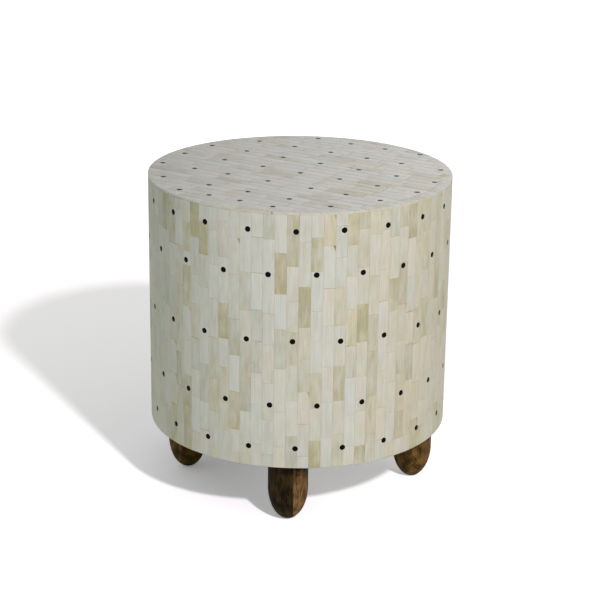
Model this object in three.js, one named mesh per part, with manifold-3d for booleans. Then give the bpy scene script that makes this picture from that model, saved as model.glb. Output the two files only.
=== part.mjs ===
// Round stool or side table: a hollow wooden drum on four turned feet. Its side and top are faced
// with narrow strips of bone laid in black resin, and rows of round black resin dots stand in them.
// Millimetres, +Z up. The origin is on the floor, on the axis of the drum. The front faces -Y.

import * as THREE from 'three';
import { mergeVertices } from 'three/addons/utils/BufferGeometryUtils.js';
import Module from 'manifold-3d';

const wasm = await Module();
wasm.setup();

// Drum and feet, outside sizes
const drumDiameter = 430;
const drumHeight = 362;
const footHeight = 96;

// Room between glued or fitted pieces, and how far a cutter runs past the face it cuts
const fitGap = 0.3;
const cutOverrun = 4;

// Bone strips and the resin behind them
const boneThickness = 3;
const resinThickness = 1.2;
const stripCount = 84;

// Round black dots, one to every fourth strip of the side. The rows lie at shares of the drum's height.
// They were set out by eye: a row's first dot stands shares of a strip away from the front.
const dotDiameter = 8;
const dotSides = 8;
const stripsPerDot = 4;
const sideRowShares = [0.079, 0.252, 0.505, 0.7625, 0.9305];
const firstDotShares = [-0.11, 1.63, -0.43, 1.455, -0.265];

// Dots of the top, also set out by eye, in rows along its strips. A row lies across the strips and its
// dots lie along them by shares of the drum's radius.
const topStripDegrees = -31.5;
const topRowShares = [-0.82, -0.62, -0.33, -0.03, 0.255, 0.555, 0.85];
const topDotShares = [
  [-0.39, -0.16, 0.07, 0.31],
  [-0.655, -0.3, -0.005, 0.305, 0.605],
  [-0.875, -0.615, -0.355, -0.04, 0.28, 0.54, 0.79],
  [-0.905, -0.58, -0.27, 0.025, 0.315, 0.605, 0.885],
  [-0.875, -0.595, -0.295, 0.005, 0.3, 0.58, 0.865],
  [-0.675, -0.39, -0.1, 0.185, 0.455, 0.75],
  [-0.375, -0.105, 0.165, 0.435],
];

// Carcass: two bent half shells round two discs and a ring, with upright battens
const shellThickness = 8;
const panelThickness = 18;
const ringWidth = 45;
const battensPerFoot = 2;
const battenWidth = 30;
const battenDepth = 20;

// Countersunk wood screws through the discs into the battens
const screwLength = 45;
const screwHeadDiameter = 9;
const screwHeadDepth = 3.5;
const screwShankDiameter = 4.5;
const screwPointLength = 6;
const screwSides = 8;

// Turned feet, bullet shaped: straight above and half an ellipse below, with a small flat to stand on
const footTurnDegrees = -4;
const footDiameter = 57;
const footRoundLength = 48;
const footFlatDiameter = 12;
const footSides = 20;
const footRoundRings = 7;

// The feet were set by hand. Each stands this far to the right and to the back of its even place, in
// shares of the drum's radius.
const footShiftShares = [[0, 0], [0.0215, -0.0185], [0, 0], [0.0125, -0.0165]];

// Glued block over each foot, the tee nut in it and the hanger bolt that joins foot and drum
const blockSize = 54;
const blockThickness = 18;
const blockEdgeGap = 7;
const boltDiameter = 8;
const boltWoodLength = 44;
const boltPointLength = 8;
const boltChamfer = 1;
const nutBarrelDiameter = 10;
const nutBarrelLength = 11;
const nutFlangeDiameter = 24;
const nutFlangeThickness = 1.6;
const fastenerSides = 12;

// Radii and levels that follow from the sizes above
const drumRadius = drumDiameter / 2;
const boneInnerRadius = drumRadius - boneThickness;
const resinOuterRadius = boneInnerRadius - fitGap;
const resinInnerRadius = resinOuterRadius - resinThickness;
const shellOuterRadius = resinInnerRadius - fitGap;
const shellInnerRadius = shellOuterRadius - shellThickness;
const panelRadius = shellInnerRadius - fitGap;
const drumBottom = footHeight;
const drumTop = footHeight + drumHeight;
const boneTopLevel = drumTop - boneThickness;
const carcassTop = boneTopLevel - resinThickness;
const basePanelTop = drumBottom + panelThickness;
const topPanelBottom = carcassTop - panelThickness;
const ringBottom = (basePanelTop + topPanelBottom - panelThickness) / 2;

// Strips of the side are flat: the drum is a prism with one facet for each of them
const fullTurn = 2 * Math.PI;
const facetStep = fullTurn / stripCount;
const facetInset = Math.cos(facetStep / 2);
const pegDiameter = dotDiameter - 2 * fitGap;

// Battens stand between the feet, their outer corners just inside the shell
const footNames = ['front', 'right', 'back', 'left'];
const footTurn = THREE.MathUtils.degToRad(footTurnDegrees);
const footStep = fullTurn / footNames.length;
const battenCount = battensPerFoot * footNames.length;
const battenStep = fullTurn / battenCount;
const firstBatten = footTurn + battenStep / 2;
const shellFlatRadius = shellInnerRadius * facetInset;
const battenFace = Math.sqrt(shellFlatRadius ** 2 - (battenWidth / 2) ** 2) - fitGap;
const battenAxis = battenFace - battenDepth / 2;

// Feet stand as far out as their square blocks allow inside the round base
const blockReach = panelRadius - blockEdgeGap;
const footRingRadius = Math.sqrt(blockReach ** 2 - (blockSize / 2) ** 2) - blockSize / 2;

// Finishes
const finish = (color, roughness, metalness = 0) =>
  new THREE.MeshStandardMaterial({ color, roughness, metalness });
const boneFinish = () => finish(0xcfcab6, 0.42);
const resinFinish = () => finish(0x14130f, 0.35);
const boardFinish = () => finish(0xa98a64, 0.85);
const plyFinish = () => finish(0xc4a376, 0.8);
const paintedFinish = () => finish(0x1d1a17, 0.7);
const footFinish = () => finish(0x4b3422, 0.5);
const steelFinish = () => finish(0xb9b8b2, 0.35, 1);

// A turn is an angle seen from above: 0 at the front (-Y), growing towards the right (+X)
function onTurn(radius, turn) {
  return new THREE.Vector2(radius * Math.sin(turn), -radius * Math.cos(turn));
}

// Closed outline with one corner at every joint between the strips
function drumOutline(radius) {
  const corners = [];
  for (let k = 0; k < stripCount; k += 1) {
    corners.push(onTurn(radius, k * facetStep));
  }
  return corners;
}

function drumDisc(radius, bottom, thickness) {
  const shape = new THREE.Shape(drumOutline(radius));
  const disc = new THREE.ExtrudeGeometry(shape, { depth: thickness, bevelEnabled: false });
  return disc.translate(0, 0, bottom);
}

function drumRing(outerRadius, innerRadius, bottom, height) {
  const shape = new THREE.Shape(drumOutline(outerRadius));
  shape.holes.push(new THREE.Path(drumOutline(innerRadius)));
  const ring = new THREE.ExtrudeGeometry(shape, { depth: height, bevelEnabled: false });
  return ring.translate(0, 0, bottom);
}

// Solid of revolution about Z from [radius, height] pairs, listed from the bottom up
function turned(profile, sides) {
  const points = profile.map(([radius, height]) => new THREE.Vector2(radius, height));
  return new THREE.LatheGeometry(points, sides).rotateX(Math.PI / 2);
}

// Plain round bar or round cutter between two heights
function bar(diameter, bottom, top, sides) {
  const rod = new THREE.CylinderGeometry(diameter / 2, diameter / 2, top - bottom, sides);
  return rod.rotateX(Math.PI / 2).translate(0, 0, (top + bottom) / 2);
}

// Moves a piece made at the origin to a place, its +X face looking towards a turn
function moveTo(geometry, place, turn) {
  return geometry.rotateZ(turn - Math.PI / 2).translate(place.x, place.y, 0);
}

// Moves a piece made at the origin out to a radius and a turn, its +X face looking outwards
function outAt(geometry, radius, turn) {
  return moveTo(geometry, onTurn(radius, turn), turn);
}

// Moves a piece made at the origin to one of the feet, counted from the front one
function atFoot(geometry, foot) {
  const turn = footTurn + foot * footStep;
  const shift = new THREE.Vector2(...footShiftShares[foot]).multiplyScalar(drumRadius);
  return moveTo(geometry, onTurn(footRingRadius, turn).add(shift), turn);
}

// Closed mesh to solid: shared corners are merged and triangles of no area are left out
function solidOf(geometry) {
  const bare = geometry.clone();
  bare.deleteAttribute('normal');
  bare.deleteAttribute('uv');
  const merged = mergeVertices(bare);
  const triangles = [];
  for (let k = 0; k < merged.index.count; k += 3) {
    const [a, b, c] = [0, 1, 2].map((corner) => merged.index.getX(k + corner));
    if (a !== b && b !== c && c !== a) {
      triangles.push(a, b, c);
    }
  }
  const mesh = new wasm.Mesh({
    numProp: 3,
    vertProperties: new Float32Array(merged.attributes.position.array),
    triVerts: new Uint32Array(triangles),
  });
  return new wasm.Manifold(mesh);
}

function geometryOf(solid) {
  const mesh = solid.getMesh();
  const geometry = new THREE.BufferGeometry();
  geometry.setAttribute('position', new THREE.BufferAttribute(mesh.vertProperties, 3));
  geometry.setIndex(new THREE.BufferAttribute(mesh.triVerts, 1));
  const faceted = geometry.toNonIndexed();
  faceted.computeVertexNormals();
  return faceted;
}

function cut(geometry, cutters) {
  return geometryOf(cutters.reduce((solid, cutter) => solid.subtract(solidOf(cutter)), solidOf(geometry)));
}

function join(geometry, additions) {
  return geometryOf(additions.reduce((solid, addition) => solid.add(solidOf(addition)), solidOf(geometry)));
}

const stool = new THREE.Group();

function addPiece(name, geometry, material) {
  const piece = new THREE.Mesh(geometry, material);
  piece.name = name;
  stool.add(piece);
}

// Places of the side's dots: the turn and the height of each
function sideDotPlaces() {
  const places = [];
  sideRowShares.forEach((share, row) => {
    for (let strip = 0; strip < stripCount; strip += stripsPerDot) {
      const turn = (strip + firstDotShares[row]) * facetStep;
      places.push({ turn, height: drumBottom + share * drumHeight });
    }
  });
  return places;
}

// Places of the top's dots: rows as if the strips ran along X, then turned with the strips
function topDotPlaces() {
  const centre = new THREE.Vector2();
  const slant = THREE.MathUtils.degToRad(topStripDegrees);
  return topRowShares.flatMap((across, row) => topDotShares[row].map((along) => {
    const place = new THREE.Vector2(along * drumRadius, across * drumRadius);
    return place.rotateAround(centre, slant);
  }));
}

// A dot of the side runs outwards along +X from one distance to another, then is turned into place
function sideDots(diameter, innerReach, outerReach) {
  return sideDotPlaces().map(({ turn, height }) => {
    const length = outerReach - innerReach;
    const dot = new THREE.CylinderGeometry(diameter / 2, diameter / 2, length, dotSides);
    dot.rotateZ(Math.PI / 2).translate(length / 2, 0, height);
    return outAt(dot, innerReach, turn);
  });
}

function topDots(diameter, bottom, top) {
  return topDotPlaces().map((place) => bar(diameter, bottom, top, dotSides).translate(place.x, place.y, 0));
}

// Bone facing of the side, one facet for each strip, with a round hole for every dot
function makeSideInlay() {
  const skin = drumRing(drumRadius, boneInnerRadius, drumBottom, boneTopLevel - drumBottom);
  const holes = sideDots(dotDiameter, boneInnerRadius - cutOverrun, drumRadius + cutOverrun);
  addPiece('side_inlay', cut(skin, holes), boneFinish());
}

// Black resin behind the side's bone; it fills the drilled holes, flush with the bone
function makeSideResin() {
  const height = boneTopLevel - fitGap - drumBottom;
  const bed = drumRing(resinOuterRadius, resinInnerRadius, drumBottom, height);
  const pegs = sideDots(pegDiameter, resinOuterRadius - resinThickness / 2, drumRadius * facetInset);
  addPiece('side_resin', join(bed, pegs), resinFinish());
}

// Bone facing of the top; its edge lies over the upper edge of the side's bone
function makeTopInlay() {
  const skin = drumDisc(drumRadius, boneTopLevel, boneThickness);
  const holes = topDots(dotDiameter, boneTopLevel - cutOverrun, drumTop + cutOverrun);
  addPiece('top_inlay', cut(skin, holes), boneFinish());
}

// Black resin under the top's bone, with its dots flush with the top
function makeTopResin() {
  const bed = drumDisc(resinInnerRadius - fitGap, carcassTop, resinThickness);
  const pegs = topDots(pegDiameter, boneTopLevel - resinThickness / 2, drumTop);
  addPiece('top_resin', join(bed, pegs), resinFinish());
}

// Bent plywood shell in two halves, parted on the middle lines of two opposite battens
function makeShellHalves() {
  const ring = drumRing(shellOuterRadius, shellInnerRadius, drumBottom, carcassTop - drumBottom);
  const boxHeight = drumHeight + 2 * cutOverrun;
  for (const [name, side] of [['shell_left', 1], ['shell_right', -1]]) {
    const half = new THREE.BoxGeometry(drumRadius, drumDiameter, boxHeight);
    half.translate((drumRadius + fitGap) / 2, 0, drumBottom + drumHeight / 2);
    const middle = firstBatten - side * Math.PI / 2;
    const keep = solidOf(outAt(half, 0, middle));
    addPiece(name, geometryOf(solidOf(ring).intersect(keep)), plyFinish());
  }
}

function battenTurns() {
  return Array.from({ length: battenCount }, (_, k) => firstBatten + k * battenStep);
}

// Outline of a countersunk screw from the rim of its head to its point, its head at the origin
function screwOutline(gap) {
  const shank = screwShankDiameter / 2 + gap;
  return [
    [screwHeadDiameter / 2 + gap, 0],
    [shank, screwHeadDepth + gap],
    [shank, screwLength - screwPointLength + gap],
    [0, screwLength + gap],
  ];
}

function screw() {
  return turned([[0, 0], ...screwOutline(0)], screwSides);
}

// Drilled and countersunk way for a screw, its mouth run out past the face that the head lies in
function screwWay() {
  const outline = screwOutline(fitGap);
  return turned([[0, -cutOverrun], [outline[0][0], -cutOverrun], ...outline], screwSides);
}

// Screws enter the base from below and the top panel from above, at the middle of each batten
function atBase(screwOrWay, turn) {
  return outAt(screwOrWay.translate(0, 0, drumBottom + fitGap), battenAxis, turn);
}

function atTop(screwOrWay, turn) {
  return outAt(screwOrWay.rotateX(Math.PI).translate(0, 0, carcassTop - fitGap), battenAxis, turn);
}

function makeScrews() {
  battenTurns().forEach((turn, k) => {
    addPiece(`base_screw_${k + 1}`, atBase(screw(), turn), steelFinish());
    addPiece(`top_screw_${k + 1}`, atTop(screw(), turn), steelFinish());
  });
}

// Upright battens between the two discs, drilled at both ends
function makeBattens() {
  const height = topPanelBottom - basePanelTop;
  battenTurns().forEach((turn, k) => {
    const batten = new THREE.BoxGeometry(battenDepth, battenWidth, height);
    batten.translate(0, 0, basePanelTop + height / 2);
    const ways = [atBase(screwWay(), turn), atTop(screwWay(), turn)];
    addPiece(`batten_${k + 1}`, cut(outAt(batten, battenAxis, turn), ways), plyFinish());
  });
}

// Ring at half height that keeps the shell round; it is notched to pass round the battens
function makeMiddleRing() {
  const ring = drumRing(panelRadius, panelRadius - ringWidth, ringBottom, panelThickness);
  const notches = battenTurns().map((turn) => {
    const length = battenDepth + fitGap + cutOverrun;
    const notch = new THREE.BoxGeometry(length, battenWidth + 2 * fitGap, panelThickness + 2 * cutOverrun);
    notch.translate(length / 2, 0, ringBottom + panelThickness / 2);
    return outAt(notch, battenFace - battenDepth - fitGap, turn);
  });
  addPiece('middle_ring', cut(ring, notches), boardFinish());
}

function makeTopPanel() {
  const panel = drumDisc(panelRadius, topPanelBottom, panelThickness);
  const holes = battenTurns().map((turn) => atTop(screwWay(), turn));
  addPiece('top_panel', cut(panel, holes), boardFinish());
}

function boltHoles() {
  return footNames.map((_, foot) => {
    const top = basePanelTop + cutOverrun;
    return atFoot(bar(boltDiameter + 2 * fitGap, drumBottom - cutOverrun, top, fastenerSides), foot);
  });
}

function makeBasePanel() {
  const panel = drumDisc(panelRadius, drumBottom, panelThickness);
  const holes = battenTurns().map((turn) => atBase(screwWay(), turn));
  addPiece('base_panel', cut(panel, [...holes, ...boltHoles()]), paintedFinish());
}

// Outline of a foot: a flat at the floor, half an ellipse, then straight up to the drum
function footProfile() {
  const radius = footDiameter / 2;
  const flatAngle = Math.asin(footFlatDiameter / footDiameter);
  const cutOff = footRoundLength * (1 - Math.cos(flatAngle));
  const profile = [[0, 0]];
  for (let k = 0; k <= footRoundRings; k += 1) {
    const angle = flatAngle + (Math.PI / 2 - flatAngle) * k / footRoundRings;
    profile.push([radius * Math.sin(angle), footRoundLength * (1 - Math.cos(angle)) - cutOff]);
  }
  profile.push([radius, footHeight], [0, footHeight]);
  return profile;
}

function makeFoot(name, foot) {
  const bore = bar(
    boltDiameter + 2 * fitGap,
    footHeight - boltWoodLength - fitGap,
    footHeight + cutOverrun,
    fastenerSides,
  );
  const bored = cut(turned(footProfile(), footSides), [bore]);
  addPiece(`foot_${name}`, atFoot(bored, foot), footFinish());
}

// Square block glued to the base over the foot, bored for the tee nut
function makeFootBlock(name, foot) {
  const block = new THREE.BoxGeometry(blockSize, blockSize, blockThickness);
  block.translate(0, 0, basePanelTop + blockThickness / 2);
  const top = basePanelTop + blockThickness;
  const boltWay = bar(boltDiameter + 2 * fitGap, basePanelTop - cutOverrun, top, fastenerSides);
  const barrelDepth = nutBarrelLength + fitGap;
  const barrelWay = bar(nutBarrelDiameter + 2 * fitGap, top - barrelDepth, top + cutOverrun, fastenerSides);
  addPiece(`foot_block_${name}`, atFoot(cut(block, [boltWay, barrelWay]), foot), plyFinish());
}

// Tee nut: its flange lies on the block and its barrel goes down into it
function makeTeeNut(name, foot) {
  const bore = boltDiameter / 2 + fitGap / 2;
  const seat = basePanelTop + blockThickness;
  const profile = [
    [bore, seat - nutBarrelLength],
    [nutBarrelDiameter / 2, seat - nutBarrelLength],
    [nutBarrelDiameter / 2, seat],
    [nutFlangeDiameter / 2, seat],
    [nutFlangeDiameter / 2, seat + nutFlangeThickness],
    [bore, seat + nutFlangeThickness],
    [bore, seat - nutBarrelLength],
  ];
  addPiece(`tee_nut_${name}`, atFoot(turned(profile, fastenerSides), foot), steelFinish());
}

// Hanger bolt: a pointed wood thread down in the foot and a machine thread up through the tee nut
function makeHangerBolt(name, foot) {
  const radius = boltDiameter / 2;
  const bottom = footHeight - boltWoodLength;
  const top = basePanelTop + blockThickness + nutFlangeThickness;
  const profile = [
    [0, bottom],
    [radius, bottom + boltPointLength],
    [radius, top - boltChamfer],
    [radius - boltChamfer, top],
    [0, top],
  ];
  addPiece(`hanger_bolt_${name}`, atFoot(turned(profile, fastenerSides), foot), steelFinish());
}

makeTopInlay();
makeTopResin();
makeTopPanel();
makeSideInlay();
makeSideResin();
makeShellHalves();
makeMiddleRing();
makeBattens();
makeBasePanel();
makeScrews();
footNames.forEach((name, foot) => {
  makeFoot(name, foot);
  makeFootBlock(name, foot);
  makeTeeNut(name, foot);
  makeHangerBolt(name, foot);
});

export default stool;
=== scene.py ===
# %% [markdown]
# # A round drum stool faced with bone
# The stool is a hollow drum of bent plywood between two board discs. Narrow strips of polished bone are
# glued all over its side and top in a bed of black resin, which also fills the drilled dots, and the drum
# stands on four turned wooden feet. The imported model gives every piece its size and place. This script
# dresses it: strips, joints, dots and feet get fine surfaces, and every piece that stays gets its finish.

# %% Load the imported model
import math

import bpy
import numpy as np
from mathutils import Matrix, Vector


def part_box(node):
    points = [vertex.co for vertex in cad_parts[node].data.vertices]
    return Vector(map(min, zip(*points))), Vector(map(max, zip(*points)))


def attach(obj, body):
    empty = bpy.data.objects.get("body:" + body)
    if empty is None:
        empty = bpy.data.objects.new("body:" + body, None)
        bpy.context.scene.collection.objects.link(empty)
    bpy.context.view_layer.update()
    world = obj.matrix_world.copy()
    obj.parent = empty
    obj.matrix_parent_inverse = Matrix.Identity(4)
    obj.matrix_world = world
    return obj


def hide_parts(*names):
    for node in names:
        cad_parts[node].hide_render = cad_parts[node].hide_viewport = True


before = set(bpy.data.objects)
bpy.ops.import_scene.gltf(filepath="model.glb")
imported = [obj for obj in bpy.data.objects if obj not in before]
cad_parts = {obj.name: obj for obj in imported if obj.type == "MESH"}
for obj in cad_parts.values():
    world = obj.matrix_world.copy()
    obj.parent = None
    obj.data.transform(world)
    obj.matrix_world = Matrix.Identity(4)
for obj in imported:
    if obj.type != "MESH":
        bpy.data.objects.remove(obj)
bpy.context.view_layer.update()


# %% [markdown]
# ## Sizes from the frame
# Nothing is measured twice: the drum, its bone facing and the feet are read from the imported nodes, so the
# finer surfaces lie exactly where the solids are. Small things of the finish itself, such as the width of
# a joint or of an eased edge, are named where they are first used.

# %% Sizes from the frame
MM = 0.001


def corners(node):
    """Lowest and highest corner of a node, as two arrays."""
    low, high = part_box(node)
    return np.array(low), np.array(high)


side_low, side_high = corners("side_inlay")
top_low, top_high = corners("top_inlay")
drum_radius = side_high[0]
drum_height = top_high[2] - side_low[2]
bone_thickness = top_high[2] - top_low[2]
resin_outer = corners("side_resin")[1][0]
column_count = 84
column_angle = 2 * math.pi / column_count
print(f"drum {2 * drum_radius:.4f} m across, {drum_height:.4f} m high, bone {bone_thickness * 1000:.1f} mm")

# %% [markdown]
# ## Camera
# The camera was worked out from the drum's two rims, its upright edges and its rows of dots, so it stands
# where the photographer stood: well above the top and a long way off, with a long lens and hardly a roll.
# Blender's camera looks down its own -Z, so its matrix is a turn about X, then a small roll about that axis.

# %% Camera
camera_place = (0.00133, -2.39718, 1.08142)
camera_pitch = math.radians(18.7965)
camera_roll = math.radians(0.7457)
camera_yaw = math.radians(-0.0131)
camera_lens = 104.773
camera_sensor = 36
camera_range = 100

camera_data = bpy.data.cameras.new("camera")
camera_data.lens = camera_lens
camera_data.sensor_width = camera_sensor
camera_data.clip_end = camera_range
camera = bpy.data.objects.new("camera", camera_data)
bpy.context.scene.collection.objects.link(camera)
tilt = Matrix.Rotation(math.pi / 2 - camera_pitch, 4, "X") @ Matrix.Rotation(camera_roll, 4, "Z")
camera.matrix_world = Matrix.Translation(camera_place) @ Matrix.Rotation(camera_yaw, 4, "Z") @ tilt
bpy.context.scene.camera = camera
bpy.context.scene.view_settings.view_transform = "Standard"
print("camera at", camera_place, "lens", camera_lens)

# %% [markdown]
# ## Helpers for shader trees
# Every finish here is a small tree of nodes. Written out in full, a node takes three or four lines, so a
# few helpers do it in one: a socket given another node's output is joined to it, and any other is set.
# Colours are written as they look on a display, from 0 to 255, and turned into the linear values of a shader.

# %% Helpers for shader trees
white = (1.0, 1.0, 1.0, 1.0)


def shade(red, green, blue):
    """Linear colour with alpha, from a display colour in steps of 255."""
    display = np.array([red, green, blue]) / 255
    linear = np.where(display <= 0.04045, display / 12.92, ((display + 0.055) / 1.055) ** 2.4)
    return (*linear.tolist(), 1.0)


def join(tree, value, socket):
    """Joins a socket to another node's output, or sets it."""
    if isinstance(value, bpy.types.NodeSocket):
        tree.links.new(value, socket)
    else:
        socket.default_value = value


def add(tree, kind, sockets=None, **settings):
    """Adds one node with its settings and sockets."""
    node = tree.nodes.new(f"ShaderNode{kind}")
    for setting, value in settings.items():
        setattr(node, setting, value)
    for key, value in (sockets or {}).items():
        join(tree, value, node.inputs[key])
    return node


def calc(tree, operation, first, second=0.0, third=0.0, clamp=False):
    """One sum of two or three values."""
    return add(tree, "Math", {0: first, 1: second, 2: third}, operation=operation, use_clamp=clamp).outputs[0]


def scaled(tree, value, factor, base=0.0, clamp=False):
    """A value times a factor, plus a base."""
    return calc(tree, "MULTIPLY_ADD", value, factor, base, clamp)


def reach(tree, value, low, high, out_low=0.0, out_high=1.0):
    """Stretches a value from one range to another and holds it there."""
    sockets = {"Value": value, "From Min": low, "From Max": high, "To Min": out_low, "To Max": out_high}
    return add(tree, "MapRange", sockets).outputs["Result"]


def tint(tree, factor, first, second, kind="MIX"):
    """Mixes two colours."""
    sockets = {0: factor, 6: first, 7: second}
    return add(tree, "Mix", sockets, data_type="RGBA", blend_type=kind).outputs[2]


def ramp(tree, factor, stops):
    """A colour ramp through stops of (place, colour)."""
    node = add(tree, "ValToRGB", {"Fac": factor})
    elements = node.color_ramp.elements
    while len(elements) < len(stops):
        elements.new(0.5)
    for element, (place, colour) in zip(elements, stops):
        element.position = place
        element.color = colour
    return node.outputs["Color"]


def attribute(tree, name, output="Fac"):
    """An attribute that the piece carries."""
    return add(tree, "Attribute", attribute_name=name).outputs[output]


def on_piece(tree):
    """The place on the piece, in metres."""
    return add(tree, "TexCoord").outputs["Object"]


def split(tree, vector):
    """The three parts of a vector."""
    return add(tree, "SeparateXYZ", {0: vector}).outputs


def combined(tree, x, y, z):
    """A vector of three parts."""
    return add(tree, "CombineXYZ", {0: x, 1: y, 2: z}).outputs[0]


def new_group(name, inputs, outputs):
    """A shader node group: inputs are name: (kind, value), outputs are name: kind. Returns the group and
    its two end nodes."""
    group = bpy.data.node_groups.new(name, "ShaderNodeTree")
    for label, (kind, value) in inputs.items():
        socket = group.interface.new_socket(name=label, in_out="INPUT", socket_type=f"NodeSocket{kind}")
        socket.default_value = value
    for label, kind in outputs.items():
        group.interface.new_socket(name=label, in_out="OUTPUT", socket_type=f"NodeSocket{kind}")
    return group, group.nodes.new("NodeGroupInput").outputs, group.nodes.new("NodeGroupOutput").inputs


def use(tree, group, sockets):
    """Places a node group and returns its outputs."""
    node = add(tree, "Group", node_tree=group)
    for key, value in sockets.items():
        join(tree, value, node.inputs[key])
    return node.outputs


def new_material(name, **values):
    """A material with one Principled shader; values are set on its own sockets."""
    material = bpy.data.materials.new(name)
    material.use_nodes = True
    shader = material.node_tree.nodes["Principled BSDF"]
    for key, value in values.items():
        shader.inputs[key.replace("_", " ")].default_value = value
    return material, material.node_tree, shader.inputs


def bump(tree, height, depth):
    """Turns a height of 0 to 1 into a normal; depth is what 1 is in metres."""
    return add(tree, "Bump", {"Height": height, "Distance": depth}).outputs["Normal"]


def surface(tree, shader, colour, roughness, height, depth):
    """Joins a colour, a roughness and the bumps of a height to the shader."""
    join(tree, colour, shader["Base Color"])
    join(tree, roughness, shader["Roughness"])
    join(tree, bump(tree, height, depth), shader["Normal"])


print("helpers ready")

# %% [markdown]
# ## Light
# The photograph was lit by one small, slightly warm lamp, high on the right and 4.1 m away: the outline of
# the shadow gives its place and the softness of that outline its size. The rest comes from all round, a
# little cooler from the left and warmer from the right. A disk lamp and a plain world do both. Mirror rays
# see a white screen that, behind the piece, gets brighter to the right, as the polish of the top shows it,
# while the light that falls on the piece stays low, so that pale bone keeps its colour.

# %% Lamp and world
lamp_place = (1.388, -2.986, 2.665)
lamp_diameter = 0.25
lamp_power = 97.3
lamp_colour = (1.0, 0.885, 0.895)
ambient_strength = 0.466
cool_side = (0.91, 0.94, 0.97, 1.0)
warm_side = (1.0, 0.86, 0.74, 1.0)
screen_middle = 0.92
screen_change = 0.52
screen_spread = 0.12
screen_rise = 0.4

lamp_data = bpy.data.lights.new("lamp", "AREA")
lamp_data.shape = "DISK"
lamp_data.size = lamp_diameter
lamp_data.energy = lamp_power
lamp_data.color = lamp_colour
lamp = bpy.data.objects.new("lamp", lamp_data)
bpy.context.scene.collection.objects.link(lamp)
lamp.location = lamp_place
aim = np.array([0, 0, side_low[2] + drum_height / 2]) - np.array(lamp_place)
lamp_tilt = math.pi / 2 - math.atan2(-aim[2], math.hypot(aim[0], aim[1]))
lamp.rotation_euler = (lamp_tilt, 0, math.atan2(-aim[0], aim[1]))


def seen_directly(tree):
    """Two values: 1 for rays of the camera or through something clear, and 1 for rays of a mirror."""
    path = add(tree, "LightPath").outputs
    either = calc(tree, "MAXIMUM", path["Is Camera Ray"], path["Is Transmission Ray"])
    return either, path["Is Glossy Ray"]


world = bpy.data.worlds.new("world")
bpy.context.scene.world = world
world.use_nodes = True
sky = world.node_tree
sky.nodes.clear()
seen, mirrored = seen_directly(sky)
strength = scaled(sky, seen, 1 - ambient_strength, ambient_strength)
to_the_right, to_the_back = split(sky, add(sky, "TexCoord").outputs["Generated"])[:2]
change = reach(sky, to_the_right, -screen_spread, screen_spread, -screen_change, screen_change)
screen = scaled(sky, change, reach(sky, to_the_back, 0, screen_rise), screen_middle)
strength = scaled(sky, mirrored, calc(sky, "SUBTRACT", screen, ambient_strength), strength)
room = tint(sky, reach(sky, to_the_right, -1, 1), cool_side, warm_side)
paper = tint(sky, calc(sky, "MAXIMUM", seen, mirrored), room, white)
background = add(sky, "Background", {"Color": paper, "Strength": strength})
add(sky, "OutputWorld", {"Surface": background.outputs[0]})
print(f"lamp {lamp_power} W, {np.linalg.norm(aim):.2f} m away, world {ambient_strength}")

# %% [markdown]
# ## Floor
# A plain white floor that runs out of sight. To the camera it is white paper in a well exposed print: it
# takes half as much light again, with a faint glow below the drum and far out, so that the backdrop is pure
# white and the shadow keeps its grey. To all other rays it is a plain pale floor, so it throws no more light
# on the drum than paper would and looks no brighter in its polish. Seen from below it is clear, which lets
# the underside be looked at.

# %% Floor
floor_radius = 9.0
floor_sides = 96
floor_drop = 0.2 * MM
floor_colour = (0.83, 0.91, 0.8, 1.0)
paper_lift = (0.52, 0.6, 0.67, 1.0)
glow_middle = (0.1, -0.02, 0.0)
# Each step of the glow: from and to which distance, and its strength there.
glow_steps = ((0.08, 0.2, 0.335, 0.2), (0.2, 0.42, 0.0, -0.16), (0.5, 0.9, 0.0, 0.04), (1.1, 2.4, 0.0, 0.6))


def make_floor():
    """A ring of points round a middle point, as flat triangles."""
    turn = np.linspace(0, 2 * math.pi, floor_sides, endpoint=False)
    rim = np.stack([floor_radius * np.cos(turn), floor_radius * np.sin(turn), 0 * turn - floor_drop], -1)
    points = np.vstack([[0, 0, -floor_drop], rim])
    number = np.arange(len(turn))
    faces = np.stack([0 * number, number + 1, (number + 1) % len(turn) + 1], -1)
    mesh = bpy.data.meshes.new("floor")
    mesh.from_pydata(points.tolist(), [], faces.tolist())
    floor = bpy.data.objects.new("floor", mesh)
    bpy.context.scene.collection.objects.link(floor)
    return floor


def floor_finish():
    """Paper white to the camera, a pale matt floor to the light, clear from below."""
    material = bpy.data.materials.new("floor")
    material.use_nodes = True
    tree = material.node_tree
    tree.nodes.clear()
    place = on_piece(tree)
    distance = add(tree, "VectorMath", {0: place, 1: glow_middle}, operation="DISTANCE").outputs["Value"]
    paper = add(tree, "BsdfDiffuse", {"Color": white}).outputs[0]
    lift = add(tree, "BsdfDiffuse", {"Color": paper_lift}).outputs[0]
    paper = add(tree, "AddShader", {0: paper, 1: lift}).outputs[0]
    glow = 0.0
    for step in glow_steps:
        glow = calc(tree, "ADD", reach(tree, distance, *step), glow)
    shine = add(tree, "Emission", {"Strength": glow}).outputs[0]
    paper = add(tree, "AddShader", {0: paper, 1: shine}).outputs[0]
    matt = add(tree, "BsdfDiffuse", {"Color": floor_colour}).outputs[0]
    above = add(tree, "MixShader", {0: seen_directly(tree)[0], 1: matt, 2: paper}).outputs[0]
    clear = add(tree, "BsdfTransparent").outputs[0]
    behind = add(tree, "NewGeometry").outputs["Backfacing"]
    both = add(tree, "MixShader", {0: behind, 1: above, 2: clear}).outputs[0]
    add(tree, "OutputMaterial", {"Surface": both})
    return material


floor = make_floor()
floor.data.materials.append(floor_finish())
print(f"floor {2 * floor_radius:.0f} m across")

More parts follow.
